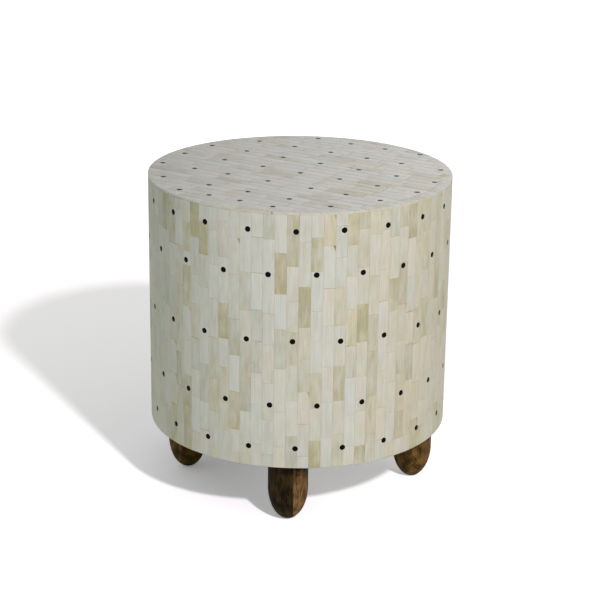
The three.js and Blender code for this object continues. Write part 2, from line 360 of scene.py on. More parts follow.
# %% [markdown]
# ## Shared effects
# Clouds and grain, flecks, rubbed patches, which on the feet paint shade, and fine scratches turn up in
# several finishes, so each is a node group that is built once. Sizes go in as metres. A group gives out only
# a value,
# a mask or a colour: the shader that uses it stays in the material.

# %% Stretched noise: clouds, streaks and grain
def stretched_noise_group():
    """Noise from -1 to 1 whose patches have the given size along each axis, in metres."""
    inputs = {"Vector": ("Vector", (0, 0, 0)), "Size": ("Vector", (0.01, 0.01, 0.01)), "Detail": ("Float", 2)}
    group, given, out = new_group("stretched noise", inputs, {"Value": "Float"})
    place = add(group, "VectorMath", {0: given["Vector"], 1: given["Size"]}, operation="DIVIDE").outputs[0]
    noise = add(group, "TexNoise", {"Vector": place, "Scale": 1.0, "Detail": given["Detail"]})
    join(group, reach(group, noise.outputs["Fac"], 0.25, 0.75, -1, 1), out["Value"])
    return group


stretched_noise = stretched_noise_group()


def noise(tree, vector, size, detail=2.0):
    """Noise from -1 to 1 with patches of that size in metres."""
    return use(tree, stretched_noise, {"Vector": vector, "Size": size, "Detail": detail})["Value"]


print("group:", stretched_noise.name)

# %% Flecks: small scattered marks
def flecks_group():
    """Blots of about the given size, one in a cell of a scattered net, of which only a share is kept."""
    inputs = {
        "Vector": ("Vector", (0, 0, 0)),
        "Cell": ("Float", 0.03),
        "Blot": ("Float", 0.1),
        "Share": ("Float", 0.2),
    }
    group, given, out = new_group("flecks", inputs, {"Mask": "Float"})
    scale = calc(group, "DIVIDE", 1.0, given["Cell"])
    cells = add(group, "TexVoronoi", {"Vector": given["Vector"], "Scale": scale})
    near = calc(group, "SUBTRACT", given["Blot"], cells.outputs["Distance"])
    blot = reach(group, near, 0.0, 0.05)
    pick = add(group, "SeparateColor", {0: cells.outputs["Color"]}).outputs[0]
    kept = calc(group, "LESS_THAN", pick, given["Share"])
    join(group, scaled(group, blot, kept), out["Mask"])
    return group


flecks = flecks_group()
print("group:", flecks.name)

# %% Rubbed patches: wear and dirt that gathers at edges, and painted shade on the feet
def rubbed_and_shaded_group():
    """Mixes a second colour over a colour where the mask is high, broken up by noise of the given size. It
    paints wear on bone and paint, and on the feet darker wood and painted shade.
    """
    inputs = {
        "Color": ("Color", white),
        "Worn and shaded": ("Color", (0, 0, 0, 1)),
        "Mask": ("Float", 0),
        "Vector": ("Vector", (0, 0, 0)),
        "Size": ("Vector", (0.01, 0.01, 0.01)),
        "Amount": ("Float", 0.5),
    }
    group, given, out = new_group("rubbed and shaded patches", inputs, {"Color": "Color", "Mask": "Float"})
    patch = noise(group, given["Vector"], given["Size"], 3)
    broken = reach(group, patch, -0.5, 0.6)
    mask = scaled(group, given["Mask"], broken)
    mask = scaled(group, mask, given["Amount"], clamp=True)
    join(group, tint(group, mask, given["Color"], given["Worn and shaded"]), out["Color"])
    join(group, mask, out["Mask"])
    return group


rubbed_and_shaded = rubbed_and_shaded_group()
print("group:", rubbed_and_shaded.name)

# %% Fine scratches
def scratches_group():
    """Thin lines in two directions, as polishing and use leave them. 1 on a scratch, 0 beside it."""
    inputs = {"Vector": ("Vector", (0, 0, 0)), "Width": ("Float", 0.0006), "Length": ("Float", 0.03)}
    group, given, out = new_group("fine scratches", inputs, {"Mask": "Float"})
    masks = []
    for degrees in (24, -51):
        turn = {"Vector": given["Vector"], "Axis": (0.1, 0.1, 1), "Angle": math.radians(degrees)}
        turned = add(group, "VectorRotate", turn).outputs[0]
        size = combined(group, given["Width"], given["Length"], given["Length"])
        lines = noise(group, turned, size, 1)
        masks.append(reach(group, lines, 0.55, 0.8))
    join(group, calc(group, "MAXIMUM", *masks), out["Mask"])
    return group


scratches = scratches_group()
print("group:", scratches.name)

# %% [markdown]
# ## Surfaces from arrays
# Every new piece is a net of points worked out with numpy and handed to Blender in one go. Three kinds are
# enough for the whole stool: a profile carried round an upright axis, for rings, discs and feet, and two
# small closed nets that are placed many times over, one for a strip of bone and one for a dot.

# %% Mesh from arrays
def new_piece(name, points, face_sets, material, flat_sets=()):
    """points is an array of places. Each of face_sets is an array with one face a row, its corners in the
    order that makes the face look outwards. Faces of the sets numbered in flat_sets are shaded flat."""
    mesh = bpy.data.meshes.new(name)
    numbers = np.concatenate([faces.ravel() for faces in face_sets]).astype(np.int32)
    sizes = np.concatenate([np.full(len(faces), faces.shape[1]) for faces in face_sets])
    starts = np.concatenate([[0], np.cumsum(sizes)[:-1]]).astype(np.int32)
    mesh.vertices.add(len(points))
    mesh.vertices.foreach_set("co", np.ascontiguousarray(points, np.float32).ravel())
    mesh.loops.add(len(numbers))
    mesh.loops.foreach_set("vertex_index", numbers)
    mesh.polygons.add(len(sizes))
    mesh.polygons.foreach_set("loop_start", starts)
    mesh.update(calc_edges=True)
    flat = np.concatenate([np.full(len(faces), k in flat_sets) for k, faces in enumerate(face_sets)])
    mesh.attributes.new("sharp_face", "BOOLEAN", "FACE").data.foreach_set("value", flat)
    mesh.materials.append(material)
    piece = bpy.data.objects.new(name, mesh)
    bpy.context.scene.collection.objects.link(piece)
    print(f"{name}: {len(points)} points, {len(sizes)} faces")
    return piece


def carry(piece, name, values, domain="POINT", kind="FLOAT"):
    """Writes one value or vector for each point or face to an attribute of the piece."""
    layer = piece.data.attributes.new(name, kind, domain)
    layer.data.foreach_set("value" if kind == "FLOAT" else "vector", np.asarray(values, np.float32).ravel())


def flat_map(piece, name, values):
    """Writes a place on a flat map for each point, in metres."""
    numbers = np.empty(len(piece.data.loops), np.int32)
    piece.data.loops.foreach_get("vertex_index", numbers)
    layer = piece.data.uv_layers.new(name=name)
    layer.uv.foreach_set("vector", np.asarray(values, np.float32)[numbers].ravel())


def repeat_faces(face_sets, count, step):
    """The same faces for that many copies of a net whose points follow one another, step to a copy."""
    first = (np.arange(count) * step)[:, None, None]
    return [(first + faces).reshape(-1, faces.shape[1]) for faces in face_sets]


# %% A profile carried round an axis
def revolve(profile, sides, centre=(0, 0)):
    """Points and faces of a profile of (radius, height) turned about an upright axis. The profile runs up
    on its outer side. If it starts and ends at radius 0 each end is one point, and otherwise it closes on
    itself. Point: x = cx + r sin a, y = cy - r cos a."""
    profile = np.asarray(profile, float)
    turn = np.linspace(0, 2 * math.pi, sides, endpoint=False)[:, None]
    poles = profile[0, 0] == 0 and profile[-1, 0] == 0
    line = profile[1:-1] if poles else profile
    radius, height = line[None, :, 0], line[None, :, 1]
    rings = [centre[0] + radius * np.sin(turn), centre[1] - radius * np.cos(turn), height + 0 * turn]
    points = np.stack(rings, -1).reshape(-1, 3)
    count = len(line)
    number = np.arange(sides * count).reshape(sides, count)
    after = np.roll(number, -1, axis=0)
    if not poles:
        up, after_up = np.roll(number, -1, axis=1), np.roll(after, -1, axis=1)
        return points, [np.stack([number, after, after_up, up], -1).reshape(-1, 4)]
    quads = np.stack([number[:, :-1], after[:, :-1], after[:, 1:], number[:, 1:]], -1).reshape(-1, 4)
    ends = np.array([[*centre, profile[0, 1]], [*centre, profile[-1, 1]]])
    low, high = len(points) + 0 * turn[:, 0].astype(int), len(points) + 1 + 0 * turn[:, 0].astype(int)
    below = np.stack([low, after[:, 0], number[:, 0]], -1)
    above = np.stack([high, number[:, -1], after[:, -1]], -1)
    return np.vstack([points, ends]), [quads, below, above]


# %% [markdown]
# ## Two flat maps of the drum
# Strips, joints and dots are laid out flat, as a maker lays them out on paper, and then put on the drum.
# On the side, the map's across is the way round and its along is the height. On the top, the strips run at
# a slant to the front, so along follows the strips and across stands square to them. A third number, the
# depth, goes straight in from the polished face. One rule for each map gives the place on the drum.

# %% Two flat maps of the drum
top_slant = math.radians(-31.5)
top_along = np.array([math.cos(top_slant), math.sin(top_slant)])
top_across = np.array([math.sin(top_slant), -math.cos(top_slant)])


def on_side(across, along, depth):
    """Place on the side: the turn is across over the radius, the height is along."""
    turn = across / drum_radius
    radius = drum_radius - depth
    return np.stack([radius * np.sin(turn), -radius * np.cos(turn), along + 0 * radius], -1)


def on_top(across, along, depth):
    """Place on the top: along times the strips' direction, plus across times the direction square to it."""
    flat = along[..., None] * top_along + across[..., None] * top_across
    return np.concatenate([flat, (top_high[2] - depth + 0 * across)[..., None]], -1)


print("strips of the top run at", round(math.degrees(top_slant), 1), "degrees")

# %% [markdown]
# ## Bone
# Cattle bone is sawn into strips, glued down, ground flush and polished. Most strips are a pale, cool or
# creamy white with faint long streaks. About one in four is beige, and one in ten to one in sixteen is a
# translucent olive or tan with clouds in it, cut from nearer the marrow. The strip's tone and warmth come as
# attributes, and on the side its warmth and lightness also carry painted light. The tone may change from end
# to end, and the nodes add the clouds and streaks at their real size. A few strips have a corner that took up
# a brown stain: its strength and the way to it come too.

# %% Bone colour
def bone_colour_group():
    """Colour of bone from its tone (0 pale, 1 dark) and its warmth (0 grey, 1 yellow)."""
    inputs = {"Tone": ("Float", 0), "Warmth": ("Float", 0.5)}
    group, given, out = new_group("bone colour", inputs, {"Color": "Color"})
    grey = [(0.0, shade(194, 200, 196)), (0.45, shade(181, 186, 177)), (1.0, shade(158, 161, 145))]
    yellow = [(0.0, shade(202, 198, 184)), (0.45, shade(189, 187, 166)), (1.0, shade(164, 162, 131))]
    cool = ramp(group, given["Tone"], grey)
    warm = ramp(group, given["Tone"], yellow)
    join(group, tint(group, given["Warmth"], cool, warm), out["Color"])
    return group


bone_colour = bone_colour_group()
print("group:", bone_colour.name)

# %% Polished bone
cloud_size = (8 * MM, 26 * MM, 8 * MM)
streak_size = (2.8 * MM, 50 * MM, 2.8 * MM)
hair_size = (1.5 * MM, 40 * MM, 1.5 * MM)
blush_size = (10 * MM, 40 * MM, 10 * MM)
wear_size = (6 * MM, 12 * MM, 6 * MM)
stain_width = 4.5 * MM
stain_length = 11 * MM
bone_relief = 0.02 * MM


def polished_bone(tree, strip, cloud, streak, hair, contrast):
    """Colour of a strip: its tone and warmth, which on the side also carry painted light, with clouds that
    are deeper in a dark strip, streaks, more warmth towards its ends, and a blush that goes from pink to
    green."""
    own_tone = attribute(tree, "tone")
    along = split(tree, add(tree, "UVMap", uv_map="share").outputs[0])[1]
    end = calc(tree, "ABSOLUTE", scaled(tree, along, 2, -1))
    end = reach(tree, scaled(tree, cloud, 0.35, end), 0.4, 1.15)
    depth = scaled(tree, scaled(tree, own_tone, 0.24, 0.18), contrast)
    tone = scaled(tree, cloud, depth, own_tone)
    tone = scaled(tree, streak, 0.2 * contrast, tone, clamp=True)
    # On the side the warmth and light attributes also carry painted light: both change round the drum, and
    # the warmth with height.
    warmth = scaled(tree, cloud, 0.2, attribute(tree, "warmth"))
    warmth = scaled(tree, end, scaled(tree, own_tone, 0.5), warmth, clamp=True)
    colour = use(tree, bone_colour, {"Tone": tone, "Warmth": warmth})["Color"]
    light = scaled(tree, hair, 0.065 * contrast, attribute(tree, "light"))
    light = scaled(tree, streak, 0.03 * contrast, light)
    blush = noise(tree, strip, blush_size, 4)
    pinker = scaled(tree, blush, 0.04, light)
    greener = scaled(tree, blush, -0.028, light)
    light = add(tree, "CombineColor", {0: pinker, 1: greener, 2: light}).outputs[0]
    return tint(tree, 1.0, colour, light, "MULTIPLY")


def marked_bone(tree, colour, strip, cloud, edge):
    """Lays brown flecks, worn edges, chipped sawn sides and the stained corner over the colour. The stain
    ends where the ways from the corner, as shares of its width and length, come to about 1 together."""
    marks = use(tree, flecks, {"Vector": strip, "Cell": 0.03, "Blot": 0.06, "Share": 0.09})["Mask"]
    colour = tint(tree, scaled(tree, marks, 0.5), colour, shade(140, 112, 82))
    wear = {"Color": colour, "Worn and shaded": shade(160, 140, 114), "Mask": edge, "Vector": strip, "Amount": 0.2}
    colour = use(tree, rubbed_and_shaded, {**wear, "Size": wear_size})["Color"]
    cut = attribute(tree, "cut")
    colour = tint(tree, scaled(tree, cut, 0.7), colour, shade(196, 195, 184))
    chips = use(tree, flecks, {"Vector": on_piece(tree), "Cell": 0.009, "Blot": 0.14, "Share": 0.3})["Mask"]
    colour = tint(tree, scaled(tree, scaled(tree, chips, cut), 0.6), colour, shade(120, 96, 70))
    across, along, strength = split(tree, attribute(tree, "from_corner", "Vector"))
    away = scaled(tree, across, 1 / stain_width, calc(tree, "DIVIDE", along, stain_length))
    stain = reach(tree, scaled(tree, cloud, 0.15, away), 0.9, 0.5)
    return tint(tree, scaled(tree, stain, strength), colour, shade(128, 92, 62))


def bone_finish(name, roughness, contrast, cast_and_shade):
    """Polished bone. contrast scales the clouds and streaks, and the last colour is laid over the whole: on
    the top it greys the bone a little and darkens it with painted shade.
    """
    material, tree, shader = new_material(name, IOR=1.5)
    strip = add(tree, "UVMap", uv_map="strip").outputs[0]
    edge = attribute(tree, "edge")
    cloud = noise(tree, strip, cloud_size, 3)
    streak = noise(tree, strip, streak_size, 2)
    hair = noise(tree, strip, hair_size, 1)
    colour = tint(tree, 1.0, polished_bone(tree, strip, cloud, streak, hair, contrast), cast_and_shade, "MULTIPLY")
    colour = marked_bone(tree, colour, strip, cloud, edge)
    lines = use(tree, scratches, {"Vector": strip, "Width": 0.0008, "Length": 0.03})["Mask"]
    rough = scaled(tree, cloud, 0.05, roughness)
    rough = scaled(tree, edge, 0.12, rough)
    rough = scaled(tree, lines, 0.08, rough)
    height = scaled(tree, streak, 0.5, scaled(tree, hair, 0.5))
    surface(tree, shader, colour, rough, height, bone_relief)
    return material


side_bone = bone_finish("bone_side", roughness=0.36, contrast=1.0, cast_and_shade=white)
# On the top the colour laid over greys the bone a little and darkens it with painted shade.
top_bone = bone_finish("bone_top", roughness=0.3, contrast=1.2, cast_and_shade=(0.937, 0.95, 0.962, 1.0))
print("materials:", side_bone.name, top_bone.name)

# %% [markdown]
# ## One strip of bone
# A strip is a little closed block. Its face is a net of five by five points: the outer ring lies a few
# hundredths of a millimetre lower than the rest and 0.4 mm outside it, which is the eased edge that polishing
# leaves. Sixteen points behind the border give it its sides and its back. Every strip shares this net, so
# hundreds of them are one set of arrays and stay light.

# %% One strip of bone
net = 5
edge_width = 0.4 * MM
edge_drop = 0.03 * MM
back_room = 0.05 * MM
strip_tilt = 0.008 * MM
strip_sink = 0.005 * MM
map_scatter = 3.0


def strip_faces(count):
    """Faces of that many strips: the face net, the walls round it and the back."""
    grid = np.arange(net * net).reshape(net, net)
    front = np.stack([grid[:-1, :-1], grid[:-1, 1:], grid[1:, 1:], grid[1:, :-1]], -1).reshape(-1, 4)
    border = np.concatenate([grid[0, :-1], grid[:-1, -1], grid[-1, :0:-1], grid[:0:-1, 0]])
    behind = net * net + np.arange(len(border))
    walls = np.stack([border, behind, np.roll(behind, -1), np.roll(border, -1)], -1)
    back = behind[::-1][None]
    return border, repeat_faces((front, walls, back), count, net * net + len(border))


def spread_shares(length):
    """Shares 0 to 1 along a length: the two ends, a point one edge width inside each, and the middle."""
    inset = edge_width / length
    return np.stack([0 * inset, inset, 0 * inset + 0.5, 1 - inset, 0 * inset + 1], -1)


def strip_depths(count, on_border, draw):
    """Depth of the points of each strip's net: the eased edge, and how the strip came to lie, some
    thousandths of a millimetre low and aslant."""
    share = np.linspace(-0.5, 0.5, net)
    slant = draw.normal(0, strip_tilt, (2, count, 1, 1)) * np.stack(np.meshgrid(share, share))[:, None]
    sink = draw.normal(0, strip_sink, (count, 1, 1))
    return np.clip(edge_drop * on_border.reshape(net, net) + sink + slant.sum(0), 0, None)


def carry_looks(piece, looks, border):
    """Writes the tone, which slopes along and across a strip, and the warmth and lightness."""
    share = np.linspace(-0.5, 0.5, net)
    tone = looks["tone"][:, None, None] + looks["tone_along"][:, None, None] * share[:, None]
    tone = (tone + looks["tone_across"][:, None, None] * share).reshape(len(tone), -1)
    carry(piece, "tone", np.hstack([tone, tone[:, border]]))
    for key in ("warmth", "light"):
        carry(piece, key, np.repeat(looks[key], net * net + len(border)))


def make_strips(name, across, along, place, looks, material, draw, rim=math.inf):
    """across and along are the flat places of each strip's net, (strips, 5, 5). looks is a dictionary of
    one value for each strip: tone, warmth, light, stain, and the slopes of the tone along and across. Edges
    further than rim from the middle take no wear."""
    count = len(across)
    border, sets = strip_faces(count)
    on_border = np.zeros(net * net, bool)
    on_border[border] = True
    depth = strip_depths(count, on_border, draw).reshape(count, -1)
    across, along = (values.reshape(count, -1) for values in (across, along))
    across, along = (np.hstack([values, values[:, border]]) for values in (across, along))
    depth = np.hstack([depth, np.full((count, len(border)), bone_thickness - back_room)])
    piece = new_piece(name, place(across, along, depth).reshape(-1, 3), sets, material, flat_sets=(1, 2))
    carry_looks(piece, looks, border)
    worn = np.tile(np.concatenate([on_border, np.ones(len(border))]), count)
    carry(piece, "edge", worn * (np.hypot(across, along).ravel() < rim))
    carry(piece, "cut", np.concatenate([np.full(len(faces), k > 0) for k, faces in enumerate(sets)]), "FACE")
    ways = [values.max(1, keepdims=True) - values for values in (across, along)]
    from_corner = np.stack([*ways, looks["stain"][:, None] + 0 * across], -1)
    carry(piece, "from_corner", from_corner, kind="FLOAT_VECTOR")
    offset = draw.uniform(0, map_scatter, (count, 1, 2))
    flat_map(piece, "strip", (np.stack([across, along], -1) + offset).reshape(-1, 2))
    from_low = [values - values.min(1, keepdims=True) for values in (across, along)]
    shares = [values / values.max(1, keepdims=True) for values in from_low]
    flat_map(piece, "share", np.stack(shares, -1).reshape(-1, 2))
    return piece


# Of pale strips, beige ones, and dark and cloudy ones: the lowest and highest tone, how much the tone
# slopes, and the middle and spread of the warmth.
kind_tone = np.array([[0.0, 0.24], [0.28, 0.48], [0.5, 0.75]])
kind_slope = np.array([0.14, 0.25, 0.45])
kind_warmth = np.array([[0.32, 0.18], [0.4, 0.22], [0.55, 0.2]])
across_slope_share = 0.6
light_spread = 0.009
stained_share = 0.03
stain_strengths = (0.3, 0.7)


def strip_looks(count, draw, kind_shares):
    """Draws the looks of that many strips. kind_shares says how many are pale, beige, and dark and cloudy."""
    kind = draw.choice(3, count, p=kind_shares)
    tone = draw.uniform(*kind_tone[kind].T)
    warmth = draw.normal(*kind_warmth[kind].T)
    return {
        "tone": tone,
        "warmth": np.clip(warmth, 0, 1),
        "light": draw.normal(1.0, light_spread, count),
        "stain": np.where(draw.random(count) < stained_share, draw.uniform(*stain_strengths, count), 0),
        "tone_along": draw.normal(0, 1, count) * kind_slope[kind],
        "tone_across": draw.normal(0, across_slope_share, count) * kind_slope[kind],
    }


print("a strip has", net * net, "points on its face")

# %% [markdown]
# ## Side: 84 columns of strips
# Round the side the strips stand in 84 straight columns, four to each dot. Most are 43 to 59 mm long, and
# their end joints are staggered as they come, with cut pieces at top and bottom. One end in four doesn't
# quite close, and its joint shows wider and darker. The darkest strips are what the eye picks out, so the
# thirty that show most plainly at the front are listed one by one and judged. All others are drawn at
# random, each column from a fixed seed of its own. Their colour carries painted light: cooler and lighter
# at the front left, warmer and darker to the right, and warmer towards the bottom, as if lit warmly from
# below.

# %% Side: 84 columns of strips
joint_width = 0.14 * MM
strip_length = 51 * MM
shortest_strip = 14 * MM
length_shares = (0.84, 1.16)
# Painted light in the side's colour: how much warmer the strips get away from coolest_turn, how much warmer
# at the bottom, and how much lighter near coolest_turn.
painted_light_warmth = 0.31
painted_bounce_warmth = 0.1
painted_light_lightness = 0.025
coolest_turn = math.radians(-25)
side_seed = 84
# Shares of pale strips, beige ones, and dark and cloudy ones.
side_kind_shares = (0.69, 0.25, 0.06)
open_end_share = 0.25
open_end_millimetres = (0.15, 0.5)
# Each row: column to the right of the front, share of the drum's height down to the strip's upper and lower
# end, its tone and its warmth.
dark_strip_shares = [
    (-14, 0.000, 0.150, 0.75, 0.50),
    (-13, 0.033, 0.190, 0.65, 0.40),
    (-13, 0.840, 1.000, 0.60, 0.80),
    (-11, 0.088, 0.200, 0.45, 0.60),
    (-11, 0.257, 0.418, 0.60, 0.70),
    (-11, 0.822, 1.000, 0.65, 0.60),
    (-10, 0.000, 0.137, 0.85, 0.95),
    (-9, 0.070, 0.197, 0.80, 0.80),
    (-7, 0.370, 0.507, 0.75, 0.75),
    (-6, 0.424, 0.566, 0.55, 0.10),
    (-6, 0.713, 0.864, 0.60, 0.75),
    (-2, 0.153, 0.310, 0.80, 0.80),
    (-1, 0.000, 0.203, 0.65, 0.45),
    (0, 0.281, 0.437, 0.95, 0.65),
    (1, 0.889, 1.000, 0.85, 0.95),
    (2, 0.000, 0.125, 0.35, 0.90),
    (4, 0.000, 0.128, 0.60, 1.00),
    (5, 0.000, 0.070, 0.55, 0.50),
    (5, 0.360, 0.507, 0.85, 0.95),
    (6, 0.550, 0.730, 0.55, 0.45),
    (9, 0.000, 0.087, 0.45, 0.60),
    (9, 0.228, 0.390, 0.65, 0.60),
    (9, 0.822, 0.933, 0.60, 0.80),
    (10, 0.000, 0.139, 0.75, 0.85),
    (10, 0.557, 0.705, 0.60, 0.50),
    (11, 0.000, 0.160, 0.40, 0.75),
    (12, 0.000, 0.130, 0.38, 0.80),
    (12, 0.395, 0.552, 0.60, 0.80),
    (13, 0.000, 0.100, 0.30, 0.60),
    (14, 0.265, 0.420, 0.75, 0.95),
]
# Column, share of the height down to the corner, and strength of a plainly seen corner stain.
stained_corner_shares = [(2, 0.125, 0.95)]


def random_ends(low, high, draw, cut_low, cut_high):
    """Heights of the strips' ends from low to high. An end that may be cut gets a short strip of any length,
    and what lies between is shared out into strips of about the usual length."""
    low_cut = low + draw.uniform(shortest_strip, strip_length) if cut_low else low
    high_cut = high - draw.uniform(shortest_strip, strip_length) if cut_high else high
    if high_cut - low_cut < shortest_strip:
        return np.array([low, high])
    count = max(1, round((high_cut - low_cut) / strip_length))
    lengths = draw.uniform(*length_shares, count)
    inner = low_cut + np.concatenate([[0], np.cumsum(lengths)]) * (high_cut - low_cut) / lengths.sum()
    return np.unique(np.concatenate([[low], inner, [high]]))


def gap_rows(low, high, draw, cut_high):
    """Ends of the strips that fill a gap in a column, without tone and warmth. They are drawn later."""
    ends = random_ends(low, high, draw, cut_low=low == side_low[2], cut_high=cut_high)
    return [(a, b, None, None) for a, b in zip(ends[:-1], ends[1:])]


def column_ends(column, draw):
    """Lower and upper end of each strip in a column, and the tone and warmth of those placed by hand."""
    placed = [row for row in dark_strip_shares if row[0] == column]
    rows, low = [], side_low[2]
    for _, top_share, low_share, tone, warmth in sorted(placed, key=lambda row: -row[1]):
        start = max(top_high[2] - low_share * drum_height, side_low[2])
        stop = min(top_high[2] - top_share * drum_height, side_high[2])
        if start - low > shortest_strip / 2:
            rows += gap_rows(low, start, draw, cut_high=False)
        else:
            start = low
        rows.append((start, stop, tone, warmth))
        low = stop
    if side_high[2] - low > shortest_strip / 2:
        rows += gap_rows(low, side_high[2], draw, cut_high=True)
    return rows


def draw_columns():
    """Column, ends, and tone and warmth if placed, of each strip of the side, and the looks drawn for all.
    The last column's draw is handed on for what is drawn after."""
    strips, parts = [], []
    for number in range(-column_count // 2, column_count // 2):
        draw = np.random.default_rng((side_seed, number + column_count))
        rows = column_ends(number, draw)
        strips += [(number, *row) for row in rows]
        parts.append(strip_looks(len(rows), draw, side_kind_shares))
    return strips, {key: np.concatenate([part[key] for part in parts]) for key in parts[0]}, draw


def settle_looks(looks, strips, column, low, high):
    """Paints light into the warmth and lightness, which change round the drum and with height, and gives the
    placed strips and the stained corner their own.
    """
    # Painted light: cooler and lighter near coolest_turn, warmer and darker a quarter turn away, and warmer
    # towards the bottom.
    painted_light_change = np.cos(2 * (column * column_angle - coolest_turn))
    level = (low + high - 2 * side_low[2]) / drum_height - 1
    looks["warmth"] = np.clip(looks["warmth"] - painted_light_warmth * painted_light_change - painted_bounce_warmth * level, 0, 1)
    looks["light"] = looks["light"] + painted_light_lightness * painted_light_change
    placed = [k for k, strip in enumerate(strips) if strip[3] is not None]
    looks["tone"][placed] = [strips[k][3] for k in placed]
    looks["warmth"][placed] = [strips[k][4] for k in placed]
    for stained_column, share, strength in stained_corner_shares:
        miss = np.abs(high - (top_high[2] - share * drum_height)) + (column != stained_column)
        looks["stain"][miss.argmin()] = strength


def make_side_strips():
    """All strips of the side as one piece."""
    strips, looks, draw = draw_columns()
    count = len(strips)
    column, low, high = (np.array([strip[k] for strip in strips], float) for k in range(3))
    settle_looks(looks, strips, column, low, high)
    half = joint_width / 2
    left = column * column_angle * drum_radius + half
    width = column_angle * drum_radius - joint_width
    opening = np.where(draw.random(count) < open_end_share, draw.uniform(*open_end_millimetres, count), 0)
    low, high = low + half + opening * MM, high - half
    share_across = spread_shares(np.full(count, width))[:, None, :]
    share_along = spread_shares(high - low)[:, :, None]
    across = left[:, None, None] + width * share_across + 0 * share_along
    along = low[:, None, None] + (high - low)[:, None, None] * share_along + 0 * share_across
    return make_strips("side_bone_strips", across, along, on_side, looks, side_bone, draw)


side_strips = make_side_strips()
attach(side_strips, "root")
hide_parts("side_inlay")

# %% [markdown]
# ## Top: strips laid across the disc
# On the top the strips lie side by side right across, at a slant, and the outer ones are cut to the round.
# Each strip's end follows the rim: at a distance across the disc, the rim lies at the square root of radius
# squared minus that distance squared. The two outermost strips have the rim along their long side instead,
# so there the same rule gives their width.

# %% Top: strips laid across the disc
top_row_count = 27
top_seed = 27
top_kind_shares = (0.68, 0.22, 0.1)
end_row_strips = 3
end_row_wander_share = 0.1
top_joint_width = 0.36 * MM
top_warmth = -0.2
top_warmth_drift = 0.2
end_row_reach_share = 0.98
unworn_rim = 0.1 * MM


def rim_reach(distance):
    """Half the length of the disc at a distance from its middle."""
    return np.sqrt(np.clip(drum_radius**2 - distance**2, 0, None))


def rim_spread(start, stop):
    """Places from start to stop across the disc, even steps of turn on the rim inside the eased edges."""
    inside = np.array([start + edge_width, stop - edge_width])
    turn = np.arcsin(np.clip(inside / drum_radius, -1, 1))
    return np.array([start, inside[0], drum_radius * math.sin(turn.mean()), inside[1], stop])


def top_row(start, stop, draw):
    """Nets of the strips in one row, which lies between two places across the disc."""
    half = top_joint_width / 2
    across = rim_spread(start + half, stop - half)
    ends = rim_reach(across)
    safe = ends.min() - shortest_strip
    joints = random_ends(-safe, safe, draw, cut_low=False, cut_high=False)
    bounds = [(-ends, joints[0] - half + 0 * ends)]
    bounds += [(a + half + 0 * ends, b - half + 0 * ends) for a, b in zip(joints[:-1], joints[1:])]
    bounds += [(joints[-1] + half + 0 * ends, ends)]
    nets = []
    for low, high in bounds:
        share = spread_shares(np.array([(high - low).mean()]))[0][:, None]
        nets.append((across + 0 * share, low + (high - low) * share))
    return nets


def top_end_row(start, sign, draw):
    """Nets of the strips in an outermost row, from a place across the disc out to the rim."""
    half = top_joint_width / 2
    inner = start + sign * half
    reach_here = end_row_reach_share * rim_reach(inner)
    joints = np.linspace(-reach_here, reach_here, end_row_strips + 1)
    joints[1:-1] += draw.uniform(-end_row_wander_share, end_row_wander_share, end_row_strips - 1) * reach_here
    nets = []
    for low, high in zip(joints[:-1] + half, joints[1:] - half):
        along = low + (high - low) * spread_shares(np.array([high - low]))[0][:, None]
        outer = sign * rim_reach(along)
        near, far = (inner + 0 * outer, outer) if sign > 0 else (outer, inner + 0 * outer)
        share = spread_shares(np.array([np.abs(far - near).mean()]))[0]
        nets.append((near + (far - near) * share, along + 0 * share))
    return nets


def make_top_strips():
    """All strips of the top as one piece."""
    draw = np.random.default_rng(top_seed)
    lines = np.linspace(-drum_radius, drum_radius, top_row_count + 1)
    nets = top_end_row(lines[1], -1, draw)
    for start, stop in zip(lines[1:-2], lines[2:-1]):
        nets += top_row(start, stop, draw)
    nets += top_end_row(lines[-2], 1, draw)
    across, along = np.stack(nets, 1)
    looks = strip_looks(len(nets), draw, top_kind_shares)
    to_the_right = on_top(across, along, 0)[..., 0].mean((1, 2)) / drum_radius
    looks["warmth"] = np.clip(looks["warmth"] + top_warmth + top_warmth_drift * to_the_right, 0, 1)
    rim = drum_radius - unworn_rim
    return make_strips("top_bone_strips", across, along, on_top, looks, top_bone, draw, rim)


top_strips = make_top_strips()
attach(top_strips, "root")
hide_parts("top_inlay")

# %% [markdown]
# ## Joints
# Between the strips runs a hair of filler: bone dust and glue, which takes up a little dirt and shows as a
# thin warm line, darker here and there. It is a ring in the side and a disc in the top, a hair below the
# polished face, with the strips bedded in it.

# %% Joint filler
filler_depth = 0.06 * MM
filler_room = 0.1 * MM
rim_setback = 0.6 * MM


def filler_finish(name, dirt_and_shade):
    """Bone dust and glue: warm beige, browner in places, matt. The value after the name makes more of it
    brown with grime.
    """
    material, tree, shader = new_material(name)
    place = on_piece(tree)
    patch = noise(tree, place, (0.02, 0.02, 0.03), 3)
    grit = noise(tree, place, (0.0008, 0.0008, 0.0008), 2)
    dark = reach(tree, scaled(tree, grit, 0.3, patch), -0.6 - dirt_and_shade, 0.9 - dirt_and_shade)
    stops = [(0.0, shade(184, 178, 158)), (0.55, shade(168, 154, 132))]
    stops += [(0.8, shade(140, 116, 92)), (1.0, shade(96, 70, 50))]
    surface(tree, shader, ramp(tree, dark, stops), reach(tree, grit, -1, 1, 0.6, 0.8), grit, 0.05 * MM)
    return material


